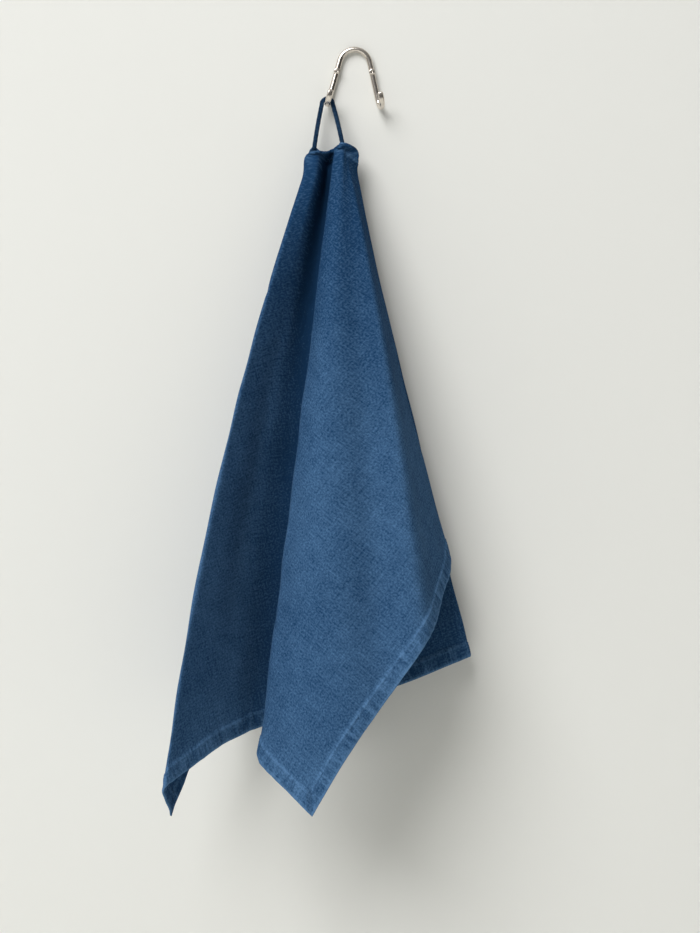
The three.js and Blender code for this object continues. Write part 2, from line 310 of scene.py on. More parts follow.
def fold_place(theta, rho):
    """The cloth's middle at an angle and a distance from the loop."""
    along = (theta + 90) / 180
    sag = np.sin(math.pi * along)
    top = HEM_LEFT + (HEM_RIGHT - HEM_LEFT) * along[..., None]
    top = top + np.stack([0 * sag, HEM_BACK * sag, -HEM_DIP * sag], -1)

    def plan(reach):
        passed = panels_passed(theta, reach)
        formed = 1 - np.exp(-reach / SPREAD)
        out, aside = swell(theta, reach)
        x = down_fold(reach, [across_folds(passed, column) for column in COLUMNS_X])
        y = down_fold(reach, [across_folds(passed, column) for column in COLUMNS_Y])
        x = top[..., 0] + (x - top[..., 0]) * formed + aside
        y = top[..., 1] + (y - top[..., 1]) * formed - out
        return x, y

    z = top[..., 2].copy()
    step = rho / LENGTH_STEPS
    last_x, last_y = plan(0 * rho)
    for i in range(1, LENGTH_STEPS + 1):
        x, y = plan(step * i)
        aside = (x - last_x) ** 2 + (y - last_y) ** 2
        z -= np.sqrt(np.maximum(step ** 2 - aside, (step / 4) ** 2))
        last_x, last_y = x, y
    lost = across_folds(panels_passed(theta, rho), LOST)
    z += lost * (1 - np.exp(-rho / GATHER))
    return np.stack([last_x, last_y - hood(theta, rho), z], -1)


def hem_start(theta):
    """Where the cloth at an angle starts along the upper hem, from the hem's middle."""
    return LOOP_SPAN / 2 * theta / 90


def flat_to_fold(u, v):
    """From a place on the flat cloth to its angle and distance at the loop."""
    v = np.maximum(v, 1e-4)
    low = np.full_like(u, -90.0)
    high = np.full_like(u, 90.0)
    for _ in range(HALVINGS):
        middle = (low + high) / 2
        turn = np.radians(middle)
        before = (u - hem_start(middle)) * np.cos(turn) > v * np.sin(turn)
        low = np.where(before, middle, low)
        high = np.where(before, high, middle)
    theta = (low + high) / 2
    return theta, np.hypot(v, u - hem_start(theta))


def fold_to_flat(theta, rho):
    """From an angle and a distance at the loop to the place on the flat cloth."""
    turn = np.radians(theta)
    return rho * np.sin(turn) + hem_start(theta), rho * np.cos(turn)


def half_and_drop(sizes):
    """Half the flat cloth's width and its whole drop, in mm."""
    return sizes.width / MM / 2, sizes.drop / MM


def edge_distance(u, v, sizes):
    """From a place on the flat cloth to its nearest edge, in mm."""
    half, drop = half_and_drop(sizes)
    return np.minimum(np.minimum(half - np.abs(u), v), drop - v)


def edge_run(u, v, sizes):
    """How far along the nearest edge a place on the flat cloth lies, in mm."""
    half, drop = half_and_drop(sizes)
    return np.where(half - np.abs(u) < np.minimum(v, drop - v), v, u)


def rise(value, low, high):
    """0 below low, 1 above high, smooth between."""
    share = np.clip((value - low) / (high - low), 0, 1)
    return share * share * (3 - 2 * share)


def relief(u, v, sizes):
    """Creases, hem puckers and small waves, in mm towards the viewer's side."""
    edge, along = edge_distance(u, v, sizes), edge_run(u, v, sizes)
    # Close puckers across the hem, uneven along it, then the edge's slower wave.
    hem = 1 - rise(edge, sizes.hem_width / MM - 1, sizes.hem_width / MM + 2)
    uneven = 0.65 + 0.35 * np.sin(along / 23 + 1.3)
    out = 0.42 * hem * uneven * np.sin(along / 1.9 + 1.4 * np.sin(along / 9.5) + 0.22 * edge)
    out += 0.7 * np.exp(-edge / 24) * np.sin(along / 8.6 + 1.1 * np.sin(along / 31))
    # Two faint waves over the cloth away from the loop.
    far = rise(np.hypot(u, v), 60, 220)
    out += far * 0.45 * np.sin(u / 17 + v / 29 + 1.7 * np.sin(v / 41))
    out += far * 0.35 * np.sin(v / 13 - u / 37 + 1.3 * np.sin(u / 33))
    for _, start, end, wide, high in CREASES:
        run = np.subtract(end, start)
        share = ((u - start[0]) * run[0] + (v - start[1]) * run[1]) / (run @ run)
        inside = rise(share, -0.1, 0.25) * (1 - rise(share, 0.75, 1.1))
        aside = ((u - start[0]) * run[1] - (v - start[1]) * run[0]) / math.sqrt(run @ run)
        wander = aside - 3 * np.sin(share * 7)
        out += high * inside * np.exp(-(wander / wide) ** 2)
    return out


def thickness(u, v, sizes):
    """The cloth's thickness in mm: more at the hem, drawn in along its stitching."""
    edge = edge_distance(u, v, sizes)
    hem_width = sizes.hem_width / MM
    plain, thick = sizes.cloth / MM, sizes.hem_thick / MM
    hem = 1 - rise(edge, hem_width - 0.4, hem_width + 0.4)
    drawn = 0.7 * np.exp(-((edge - sizes.stitch_inset / MM) / 0.8) ** 2)
    rolled = 0.45 + 0.55 * rise(edge, 0, 1.6)
    return (plain + (thick - plain) * hem - drawn) * rolled


def grid_angles(sizes):
    """The grid's angles: close at each fold, at the lower corners and at the upper hem."""
    half, drop = half_and_drop(sizes)
    corner = flat_to_fold(np.array([half]), np.array([drop]))[0][0]
    marks = {-90.0, -corner, corner, 90.0}
    for angle, half_bend in zip(ANGLES[1:-1], ROUNDS[1:-1]):
        marks |= {angle + half_bend * share for share in np.linspace(-1.1, 1.1, 9)}
    ordered = sorted(marks)
    angles = [ordered[0]]
    for mark in ordered[1:]:
        gap = mark - angles[-1]
        if gap < LEAST_TURN:
            continue
        count = math.ceil(gap / sizes.grid_turn)
        angles += [angles[-1] + gap / count * (i + 1) for i in range(count)]
    angles[-1] = 90.0
    return np.array(angles), corner


def cloth_grid(sizes):
    """Angle and distance of each grid place, with rows that run along the hem and its stitching."""
    angles, corner = grid_angles(sizes)
    half, drop = half_and_drop(sizes)
    inset, hem = sizes.stitch_inset / MM, sizes.hem_width / MM
    turn = np.radians(angles)
    side = half - hem_start(np.abs(angles))
    to_side = side / np.maximum(np.abs(np.sin(turn)), 1e-9)
    to_lower = drop / np.maximum(np.cos(turn), 1e-9)
    reach = np.minimum(to_side, to_lower)
    length = drop + (side - drop) * rise(np.abs(angles), corner - 2.5, corner + 2.5)
    # Rows at these distances from the edge follow the hem, its stitching and its rolled rim.
    edges = (hem + 2.5, hem + 0.5, hem - 0.4, inset + 0.6, inset - 0.6, 9, 6.5, 4, 2, 0.9, 0.3, 0)
    inner = (np.arange(sizes.grid_rows) / sizes.grid_rows) ** ROW_CROWDING
    shares = [(1 - edges[0] / length) * share for share in inner]
    shares += [1 - edge / length for edge in edges]
    rho = np.array(shares) * reach
    return np.broadcast_to(angles, rho.shape).copy(), rho


def viewer_normal(across, down):
    """The unit normal on the viewer's side of the cloth."""
    normal = -np.cross(across, down)
    return normal / np.maximum(np.linalg.norm(normal, axis=-1, keepdims=True), 1e-9)


def grid_normal(places):
    """The unit normals of a grid of places."""
    return viewer_normal(np.gradient(places, axis=1), np.gradient(places, axis=0))


def new_object(name, verts, faces, material=None, smooth=True):
    """A mesh object at the origin, from places in millimetres."""
    mesh = bpy.data.meshes.new(name)
    mesh.from_pydata((np.asarray(verts) * MM).tolist(), [], [tuple(face) for face in faces])
    mesh.update()
    if mesh.validate():
        raise RuntimeError(f"{name}: the mesh has faulty faces")
    mesh.polygons.foreach_set("use_smooth", [smooth] * len(mesh.polygons))
    obj = bpy.data.objects.new(name, mesh)
    bpy.context.scene.collection.objects.link(obj)
    if material:
        mesh.materials.append(material)
    return obj


def set_uv(mesh, places):
    """A UV map from one place in metres for each vertex."""
    layer = mesh.uv_layers.new(name="flat")
    corners = np.empty(len(mesh.loops), dtype=np.int32)
    mesh.loops.foreach_get("vertex_index", corners)
    layer.data.foreach_set("uv", np.asarray(places, dtype=np.float32)[corners].ravel())


def set_values(mesh, name, values):
    """A number for each vertex, for a material to read."""
    mesh.attributes.new(name, "FLOAT", "POINT").data.foreach_set(
        "value", np.asarray(values, dtype=np.float32))


def sheet_faces(rows, columns):
    """Quads of a closed sheet: its viewer side, its far side and the rim between them."""
    front = np.arange(rows * columns).reshape(rows, columns)
    far = front + rows * columns
    quads = [np.stack([front[:-1, :-1], front[1:, :-1], front[1:, 1:], front[:-1, 1:]], -1)]
    quads.append(np.stack([far[:-1, :-1], far[:-1, 1:], far[1:, 1:], far[1:, :-1]], -1))
    rim = []
    for line, back, turned in (
        (front[:, 0], far[:, 0], False), (front[-1], far[-1], False),
        (front[:, -1], far[:, -1], True), (front[0], far[0], True),
    ):
        quad = [line[1:], line[:-1], back[:-1], back[1:]]
        rim.append(np.stack(quad[::-1] if turned else quad, -1))
    return np.concatenate([part.reshape(-1, 4) for part in quads + rim]).tolist()


def tube_faces(rings, sides):
    """The faces of a closed tube: quads between its rings of corners, and its two ends."""
    faces = []
    for j in range(rings - 1):
        for i in range(sides):
            a, b = j * sides + i, j * sides + (i + 1) % sides
            faces.append((a, b, b + sides, a + sides))
    faces.append(tuple(reversed(range(sides))))
    faces.append(tuple(range((rings - 1) * sides, rings * sides)))
    return faces


def sweep(stations, section):
    """A closed bar: the section carried along the stations, each (at, side, back, scale)."""
    verts = []
    for at, side, back, scale in stations:
        verts += [at + side * across * scale + back * deep * scale for across, deep in section]
    return verts, tube_faces(len(stations), len(section))


def outwards(obj):
    """Turns a closed piece's faces outwards when its volume comes out negative."""
    mesh = obj.data
    mesh.calc_loop_triangles()
    places = np.array([vert.co[:] for vert in mesh.vertices])
    corners = np.array([tri.vertices[:] for tri in mesh.loop_triangles])
    a, b, c = (places[corners[:, k]] for k in range(3))
    if np.einsum("ij,ij->i", a, np.cross(b, c)).sum() < 0:
        mesh.flip_normals()
    return obj


def tilt(place):
    """Turns a place of the upright hook to the angle that the hook hangs at."""
    x, y, z = place
    cos, sin = math.cos(HOOK_TILT), math.sin(HOOK_TILT)
    return np.array([x * cos + z * sin, y, z * cos - x * sin])


def arm_stations(arm, arch_steps=24, bend_steps=30):
    """Half of the hook's bar, for an arm's hand, depth of its foot and splay of its finger."""
    hand, foot_depth, splay = arm
    to_wall = np.array([0.0, 1.0, 0.0])
    middle = BAR_FLAT - BAR / 2
    stations = []
    for i in range(arch_steps + 1):
        turn = (math.pi / 2 - LEG_SPREAD) * i / arch_steps
        outward = np.array([hand * math.sin(turn), 0.0, math.cos(turn)])
        at = np.array([0.0, middle, -ARCH_RADIUS]) + outward * ARCH_RADIUS
        stations.append((at, outward, to_wall, 1.0))
    down = np.array([hand * math.sin(LEG_SPREAD), 0.0, -math.cos(LEG_SPREAD)])
    end, side = stations[-1][0], stations[-1][1]
    leg = (foot_depth - FINGER_BEND + end[2]) / math.cos(LEG_SPREAD)
    for i in range(1, 8):
        stations.append((end + down * leg * i / 8, side, to_wall, 1.0))
    centre = end + down * leg - to_wall * FINGER_BEND
    for i in range(bend_steps + 1):
        turn = math.pi * i / bend_steps
        back = to_wall * math.cos(turn) + down * math.sin(turn)
        outward = side * splay * (1 - math.cos(turn)) / 2
        stations.append((centre + back * FINGER_BEND + outward, side, back, 1.0))
    foot, _, back, _ = stations[-1]
    for share in (0, 0.3, 0.55, 0.72, 0.85, 0.94, 1.0):
        scale = math.sqrt(1 - (0.97 * share) ** 2)
        stations.append((foot - down * (FINGER_RISE + share * BAR / 3), side, back, scale))
    return stations


def bar_section():
    """The bar's round section, cut flat at the back."""
    turns = [2 * math.pi * (i + 0.5) / BAR_SIDES for i in range(BAR_SIDES)]
    return [(BAR / 2 * math.cos(turn), min(BAR / 2 * math.sin(turn), BAR / 2 - BAR_FLAT))
            for turn in turns]


def tape_line(loop):
    """The loop's centre line: up from the hem, over the bar and down to the hem again."""
    foot = tilt(min((station[0] for station in arm_stations(LEFT_ARM)), key=lambda at: at[2]))
    wrap = BAR / 2 + GAP + loop.wide / MM / 2
    over = []
    for i in range(TAPE_STEPS + 1):
        turn = math.pi * i / TAPE_STEPS
        over.append(foot + np.array([-wrap * math.cos(turn), 0, wrap * math.sin(turn)]))

    def strand(end, top, hand):
        seat = end - np.array([0, 0, loop.seated / MM])
        shares = [i / TAPE_STEPS for i in range(TAPE_STEPS)]
        return [seat + (top - seat) * share
                + np.array([TAPE_BOW * hand * math.sin(math.pi * share), 0, 0]) for share in shares]

    return np.array(strand(HEM_LEFT, over[0], -1) + over + strand(HEM_RIGHT, over[-1], 1)[::-1])


def tape_reach(across, deep, done):
    """How far the tape's section reaches: a rounded square with two sewn grooves and puckers."""
    square = (abs(across) ** TAPE_SQUARENESS + abs(deep) ** TAPE_SQUARENESS) ** (-1 / TAPE_SQUARENESS)
    groove = 1 - 0.1 * math.exp(-((abs(across) - 0.55) / 0.14) ** 2)
    pucker = 1 + 0.035 * math.sin(done / 0.9 + 2 * across)
    return square * groove * pucker * TAPE_FULLNESS


def screw_profile(hook):
    """A screw head's profile as (reach, height) in mm: its seat, rim, dome and recess."""
    radius, height = hook.screw_radius / MM, hook.screw_height / MM
    recess, dome_steps = hook.recess_radius / MM, 8
    profile = [(0, -SCREW_SINK), (radius, -SCREW_SINK), (radius, SCREW_RIM)]
    for i in range(1, dome_steps + 1):
        turn = math.pi / 2 * i / dome_steps
        reach = recess + (radius - recess) * math.cos(turn)
        profile.append((reach, SCREW_RIM + (height - SCREW_RIM) * math.sin(turn)))
    return profile + [(recess * RECESS_TAPER, height - RECESS_DEPTH), (0, height - RECESS_POINT)]


def feed(tree, node, inputs):
    """Sets a node's inputs, each to a value or to another node's output."""
    for key, value in dict(inputs).items():
        socket = node.inputs[key]
        if isinstance(value, bpy.types.NodeSocket):
            tree.links.new(value, socket)
        else:
            socket.default_value = value


def add_node(tree, kind, inputs=(), **settings):
    """A node with its settings and inputs."""
    node = tree.nodes.new(kind)
    for key, value in settings.items():
        setattr(node, key, value)
    feed(tree, node, inputs)
    return node


def math_node(tree, operation, *values, clamp=False):
    """The output of a math node."""
    return add_node(tree, "ShaderNodeMath", enumerate(values),
                    operation=operation, use_clamp=clamp).outputs[0]


def mix_color(tree, share, first, second):
    """The output of a colour mix."""
    return add_node(tree, "ShaderNodeMix", {0: share, 6: first, 7: second},
                    data_type="RGBA").outputs[2]


def stretched_noise(tree, place, scale, detail=3.0):
    """Noise drawn out along one side of the cloth where scale differs by side."""
    mapping = add_node(tree, "ShaderNodeMapping", {"Vector": place, "Scale": scale})
    noise = add_node(tree, "ShaderNodeTexNoise",
                     {"Vector": mapping.outputs[0], "Scale": 1.0, "Detail": detail})
    return noise.outputs["Fac"]


def group_tree(name, inputs, outputs):
    """An empty shader group with named sockets."""
    tree = bpy.data.node_groups.new(name, "ShaderNodeTree")
    for label, kind, value in inputs:
        socket = tree.interface.new_socket(name=label, in_out="INPUT", socket_type=kind)
        if value is not None:
            socket.default_value = value
    for label, kind in outputs:
        tree.interface.new_socket(name=label, in_out="OUTPUT", socket_type=kind)
    return tree, tree.nodes.new("NodeGroupInput"), tree.nodes.new("NodeGroupOutput")


def washed_weave_group():
    """Plain weave with slubs, washed patches, pale worn places and darker places of painted shade."""
    if "Washed weave" in bpy.data.node_groups:
        return bpy.data.node_groups["Washed weave"]
    tree, given, put = group_tree(
        "Washed weave",
        [("Place", "NodeSocketVector", None), ("Deep", "NodeSocketColor", None),
         ("Pale", "NodeSocketColor", None), ("Wear_and_shade", "NodeSocketFloat", 0.0),
         ("Thread pitch", "NodeSocketFloat", 0.001), ("Fading", "NodeSocketFloat", 0.4)],
        [("Color", "NodeSocketColor"), ("Roughness", "NodeSocketFloat"),
         ("Height", "NodeSocketFloat")])
    place = given.outputs["Place"]
    split = add_node(tree, "ShaderNodeSeparateXYZ", {0: place})
    turns = math_node(tree, "DIVIDE", math.pi, given.outputs["Thread pitch"])
    warp = math_node(tree, "SINE", math_node(tree, "MULTIPLY", split.outputs[0], turns))
    weft = math_node(tree, "SINE", math_node(tree, "MULTIPLY", split.outputs[1], turns))
    weave = math_node(tree, "MULTIPLY", warp, weft)
    slub_across = stretched_noise(tree, place, (22, 950, 1))
    slub_down = stretched_noise(tree, place, (950, 22, 1))
    slubs = math_node(tree, "ADD", slub_across, slub_down)
    patches = stretched_noise(tree, place, (9, 9, 1))
    marbling = stretched_noise(tree, place, (70, 70, 1), 4.0)
    speckle = stretched_noise(tree, place, (560, 560, 1), 2.0)
    crumple = stretched_noise(tree, place, (170, 140, 1), 4.0)
    share = given.outputs["Fading"]
    for source, middle, strength in (
        (slubs, 1.0, 0.5), (patches, 0.5, 0.35), (marbling, 0.5, 0.4), (speckle, 0.5, 1.3),
    ):
        share = math_node(tree, "ADD", share, math_node(
            tree, "MULTIPLY", math_node(tree, "SUBTRACT", source, middle), strength))
    # The wear input pales rubbed places, and where it falls below nothing it darkens the cloth as
    # painted shade.
    worn_and_shaded = math_node(tree, "MULTIPLY", given.outputs["Wear_and_shade"], math_node(
        tree, "ADD", 0.35, marbling))
    share = math_node(tree, "ADD", share, worn_and_shaded, clamp=True)
    tint = mix_color(tree, share, given.outputs["Deep"], given.outputs["Pale"])
    rough = math_node(tree, "ADD", 0.82, math_node(tree, "MULTIPLY", marbling, 0.16))
    height = math_node(tree, "MULTIPLY", weave, 0.08)
    for source, strength in ((slubs, 0.12), (speckle, 0.3), (crumple, 0.8)):
        height = math_node(tree, "ADD", height, math_node(tree, "MULTIPLY", source, strength))
    feed(tree, put, {"Color": tint, "Roughness": rough, "Height": height})
    return tree


def hem_pucker_group():
    """The small gathers that stitching and washing leave across a hem."""
    tree, given, put = group_tree(
        "Hem puckers",
        [("Along", "NodeSocketFloat", 0.0), ("Edge", "NodeSocketFloat", 0.0),
         ("Hem width", "NodeSocketFloat", 0.013)],
        [("Mask", "NodeSocketFloat"), ("Pucker", "NodeSocketFloat")])
    along, edge = given.outputs["Along"], given.outputs["Edge"]
    spot = add_node(tree, "ShaderNodeCombineXYZ", {0: along, 1: edge})
    gather = stretched_noise(tree, spot.outputs[0], (235, 48, 1), 2.0)
    share = math_node(tree, "DIVIDE", edge, given.outputs["Hem width"])
    fade = add_node(tree, "ShaderNodeMapRange", {0: share, 1: 0.95, 2: 1.35, 3: 1.0, 4: 0.0},
                    interpolation_type="SMOOTHSTEP").outputs[0]
    feed(tree, put, {"Mask": fade, "Pucker": math_node(tree, "MULTIPLY", fade, gather)})
    return tree


def pucker_hem(material, hem_width):
    """Adds the hem's gathers to a cloth that carries its edge distance."""
    tree = material.node_tree
    weave = next(node for node in tree.nodes if node.bl_idname == "ShaderNodeGroup")
    bump = next(node for node in tree.nodes if node.bl_idname == "ShaderNodeBump")
    hem = add_node(tree, "ShaderNodeGroup", {"Hem width": hem_width}, node_tree=hem_pucker_group())
    for name, label in (("along", "Along"), ("edge", "Edge")):
        value = add_node(tree, "ShaderNodeAttribute", attribute_name=name)
        feed(tree, hem, {label: value.outputs["Fac"]})
    height = math_node(tree, "ADD", weave.outputs["Height"], math_node(
        tree, "MULTIPLY", hem.outputs["Pucker"], 2.6))
    tree.links.new(height, bump.inputs["Height"])
    lift = math_node(tree, "MULTIPLY", math_node(
        tree, "SUBTRACT", hem.outputs["Pucker"], math_node(
            tree, "MULTIPLY", hem.outputs["Mask"], 0.42)), 1.5)
    wear_and_shade = weave.inputs["Wear_and_shade"].links[0].from_socket
    tree.links.new(math_node(tree, "ADD", wear_and_shade, lift), weave.inputs["Wear_and_shade"])


def new_material(name):
    """A material, its tree and its shader."""
    material = bpy.data.materials.new(name)
    material.use_nodes = True
    return material, material.node_tree, material.node_tree.nodes["Principled BSDF"]


def cloth_material(name, deep, pale, fading):
    """Matt washed cloth that follows the piece's own flat map."""
    material, tree, shader = new_material(name)
    flat = add_node(tree, "ShaderNodeUVMap", uv_map="flat")
    # The attribute read here holds rubbed wear and, on the towel, painted shade.
    wear_and_shade = add_node(tree, "ShaderNodeAttribute", attribute_name="wear_and_shade")
    weave = add_node(tree, "ShaderNodeGroup", {
        "Place": flat.outputs[0], "Deep": (*deep, 1), "Pale": (*pale, 1), "Wear_and_shade": wear_and_shade.outputs["Fac"],
        "Thread pitch": THREAD_PITCH, "Fading": fading}, node_tree=washed_weave_group())
    bump = add_node(tree, "ShaderNodeBump", {
        "Strength": 0.55, "Distance": BUMP_DEPTH, "Height": weave.outputs["Height"]})
    feed(tree, shader, {
        "Base Color": weave.outputs["Color"], "Roughness": weave.outputs["Roughness"],
        "Normal": bump.outputs[0], "Specular IOR Level": 0.03})
    return material


def nickel_material(name, metal):
    """Polished nickel with a faint haze and hairlines."""
    material, tree, shader = new_material(name)
    where = add_node(tree, "ShaderNodeTexCoord").outputs["Object"]
    haze = add_node(tree, "ShaderNodeTexNoise", {"Vector": where, "Scale": 180.0, "Detail": 4.0})
    hairs = stretched_noise(tree, where, (2600, 2600, 260), 2.0)
    tint = mix_color(tree, haze.outputs["Fac"], (*[0.93 * part for part in metal], 1), (*metal, 1))
    rough = math_node(tree, "ADD", 0.17, math_node(tree, "MULTIPLY", haze.outputs["Fac"], 0.12))
    bump = add_node(tree, "ShaderNodeBump", {"Strength": 0.08, "Distance": 0.00005, "Height": hairs})
    feed(tree, shader, {
        "Base Color": tint, "Roughness": rough, "Normal": bump.outputs[0], "Metallic": 1.0})
    return material


def stage_material(name, tint):
    """A pale matt backdrop that is clear from behind."""
    material, tree, shader = new_material(name)
    feed(tree, shader, {"Base Color": (*tint, 1), "Roughness": 0.95, "Specular IOR Level": 0.1})
    clear = add_node(tree, "ShaderNodeBsdfTransparent")
    behind = add_node(tree, "ShaderNodeNewGeometry")
    mix = add_node(tree, "ShaderNodeMixShader", {
        0: behind.outputs["Backfacing"], 1: shader.outputs[0], 2: clear.outputs[0]})
    feed(tree, tree.nodes["Material Output"], {"Surface": mix.outputs[0]})
    return material


def stitch_tree():
    """Stitches along a line: their length, spacing, thread and material are inputs."""
    tree = bpy.data.node_groups.new("Row of stitches", "GeometryNodeTree")
    sockets = tree.interface
    sockets.new_socket(name="Geometry", in_out="INPUT", socket_type="NodeSocketGeometry")
    for label in ("Length", "Spacing", "Thread"):
        sockets.new_socket(name=label, in_out="INPUT", socket_type="NodeSocketFloat")
    sockets.new_socket(name="Material", in_out="INPUT", socket_type="NodeSocketMaterial")
    sockets.new_socket(name="Geometry", in_out="OUTPUT", socket_type="NodeSocketGeometry")
    given, put = tree.nodes.new("NodeGroupInput"), tree.nodes.new("NodeGroupOutput")
    line = add_node(tree, "GeometryNodeMeshToCurve", {"Mesh": given.outputs["Geometry"]})
    points = add_node(tree, "GeometryNodeCurveToPoints",
                      {"Curve": line.outputs[0], "Length": given.outputs["Spacing"]}, mode="LENGTH")
    bead = add_node(tree, "GeometryNodeMeshUVSphere", {"Segments": 6, "Rings": 4, "Radius": 0.5})
    shape = add_node(tree, "ShaderNodeCombineXYZ", {
        0: given.outputs["Thread"], 1: given.outputs["Thread"], 2: given.outputs["Length"]})
    placed = add_node(tree, "GeometryNodeInstanceOnPoints", {
        "Points": points.outputs["Points"], "Instance": bead.outputs["Mesh"],
        "Rotation": points.outputs["Rotation"], "Scale": shape.outputs[0]})
    real = add_node(tree, "GeometryNodeRealizeInstances", {0: placed.outputs[0]})
    smooth = add_node(tree, "GeometryNodeSetShadeSmooth", {0: real.outputs[0]})
    dressed = add_node(tree, "GeometryNodeSetMaterial", {
        "Geometry": smooth.outputs[0], "Material": given.outputs["Material"]})
    tree.links.new(dressed.outputs[0], put.inputs[0])
    return tree


def along_hem(sizes, side):
    """Places on the flat cloth along one side's stitching, each 2 mm."""
    half, drop = half_and_drop(sizes)
    inset = sizes.stitch_inset / MM
    across = np.arange(inset - half, half - inset + 1, 2.0)
    down = np.arange(inset, drop - inset + 1, 2.0)
    return {
        "upper": (across, np.full_like(across, inset)),
        "lower": (across, np.full_like(across, drop - inset)),
        "left": (np.full_like(down, inset - half), down),
        "right": (np.full_like(down, half - inset), down),
    }[side]


def on_cloth(u, v, sizes, face):
    """Places just on the cloth's viewer side where face is 1, or on its far side where -1."""
    def middle(du, dv):
        return fold_place(*flat_to_fold(u + du, v + dv))

    normal = viewer_normal(middle(0.4, 0) - middle(-0.4, 0), middle(0, 0.4) - middle(0, -0.4))
    lift = relief(u, v, sizes) + face * thickness(u, v, sizes) / 2
    return middle(0, 0) + normal * lift[:, None]


def cloth_wear_and_shade(u, v, rho, places, normal, sizes):
    """Rubbed wear and painted shade of the cloth, on the viewer's side and on the far side."""
    edge = edge_distance(u, v, sizes)
    hem = EDGE_WEAR * np.exp(-(edge / 1.8) ** 2) + HEM_WEAR * np.exp(
        -((edge - sizes.hem_width / MM) / 1.2) ** 2)
    turn = np.linalg.norm(np.gradient(normal, axis=1), axis=-1)
    fold = np.clip(turn * 1.1, 0, 1) * rise(rho, 30, 120)
    # A deeper blue at the gathers, deep in a fold and on the far side stands in for shade that
    # the folds don't fully give.
    wear_and_shade = hem + FOLD_WEAR * fold - GATHER_PAINTED_SHADE * (1 - rise(rho, 60, 300))
    # Painted shade deep in a fold: the further a place lies behind the nearest cloth on either side,
    # the darker it is painted.
    front = places[..., 1]
    nearest = [np.minimum.accumulate(way, axis=1) for way in (front, front[:, ::-1])]
    deep = (front - np.maximum(nearest[0], nearest[1][:, ::-1])) / (10 + 0.22 * rho)
    # The far side is painted darker all over, as shade.
    return wear_and_shade - HOLLOW_PAINTED_SHADE * rise(deep, 0.45, 0.9), wear_and_shade - FAR_SIDE_PAINTED_SHADE


class MakeTowel(bpy.types.Operator):
    """Make the hemmed sheet of cloth"""

    bl_idname = "tea_towel.make_towel"
    bl_label = "Make Towel"

    def execute(self, context):
        sizes = context.scene.towel_sizes
        theta, rho = cloth_grid(sizes)
        u, v = fold_to_flat(theta, rho)
        places = fold_place(theta, rho)
        places += grid_normal(places) * relief(u, v, sizes)[..., None]
        normal = grid_normal(places)
        half_thick = thickness(u, v, sizes)[..., None] / 2
        verts = np.concatenate([(places + normal * half_thick).reshape(-1, 3),
                                (places - normal * half_thick).reshape(-1, 3)])
        material = cloth_material("Washed blue cloth", sizes.deep, sizes.pale, TOWEL_FADING)
        pucker_hem(material, sizes.hem_width)
        towel = new_object("towel_cloth", verts, sheet_faces(*u.shape), material)
        flat = np.stack([u.ravel() + half_and_drop(sizes)[0], v.ravel()], -1) * MM
        set_uv(towel.data, np.concatenate([flat, flat]))
        # The towel's rubbed wear, with painted shade at the gathers, deep in folds and on the far
        # side.
        near, far = cloth_wear_and_shade(u, v, rho, places, normal, sizes)
        edge, along = edge_distance(u, v, sizes) * MM, edge_run(u, v, sizes) * MM
        for name, front, back in (("wear_and_shade", near, far), ("edge", edge, edge), ("along", along, along)):
            set_values(towel.data, name, np.concatenate([front.ravel(), back.ravel()]))
        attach(towel, "root")
        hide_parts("towel")
        return {"FINISHED"}


class MakeStitches(bpy.types.Operator):
    """Make the stitching along the towel's four hems"""

    bl_idname = "tea_towel.make_stitches"
    bl_label = "Make Hem Stitches"

    def execute(self, context):
        sizes = context.scene.towel_sizes
        verts, edges = [], []
        for side in ("upper", "lower", "left", "right"):
            u, v = along_hem(sizes, side)
            for face in (1, -1):
                start = len(verts)
                line = on_cloth(u, v, sizes, face) * MM
                verts += line.tolist()
                edges += [(start + i, start + i + 1) for i in range(len(line) - 1)]
        mesh = bpy.data.meshes.new("hem_stitches")
        mesh.from_pydata(verts, edges, [])
        rails = bpy.data.objects.new("hem_stitches", mesh)
        context.scene.collection.objects.link(rails)
        thread = [THREAD_SHARE * part for part in sizes.pale]
        material = cloth_material("Sewing thread", sizes.deep, thread, THREAD_FADING)
        values = {"Length": sizes.stitch_length, "Spacing": sizes.stitch_spacing,
                  "Thread": sizes.thread, "Material": material}
        modifier = rails.modifiers.new("Stitches", "NODES")
        modifier.node_group = stitch_tree()
        for item in modifier.node_group.interface.items_tree:
            if item.in_out == "INPUT" and item.name in values:
                modifier[item.identifier] = values[item.name]
        graph = context.evaluated_depsgraph_get()
        made = bpy.data.meshes.new_from_object(rails.evaluated_get(graph), depsgraph=graph)
        rails.modifiers.remove(modifier)
        rails.data = made
        if not made.polygons:
            raise RuntimeError("the hem got no stitches")
        while made.uv_layers:
            made.uv_layers.remove(made.uv_layers[0])
        places = np.array([vert.co[:2] for vert in made.vertices])
        set_uv(made, places)
        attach(rails, "root")
        return {"FINISHED"}


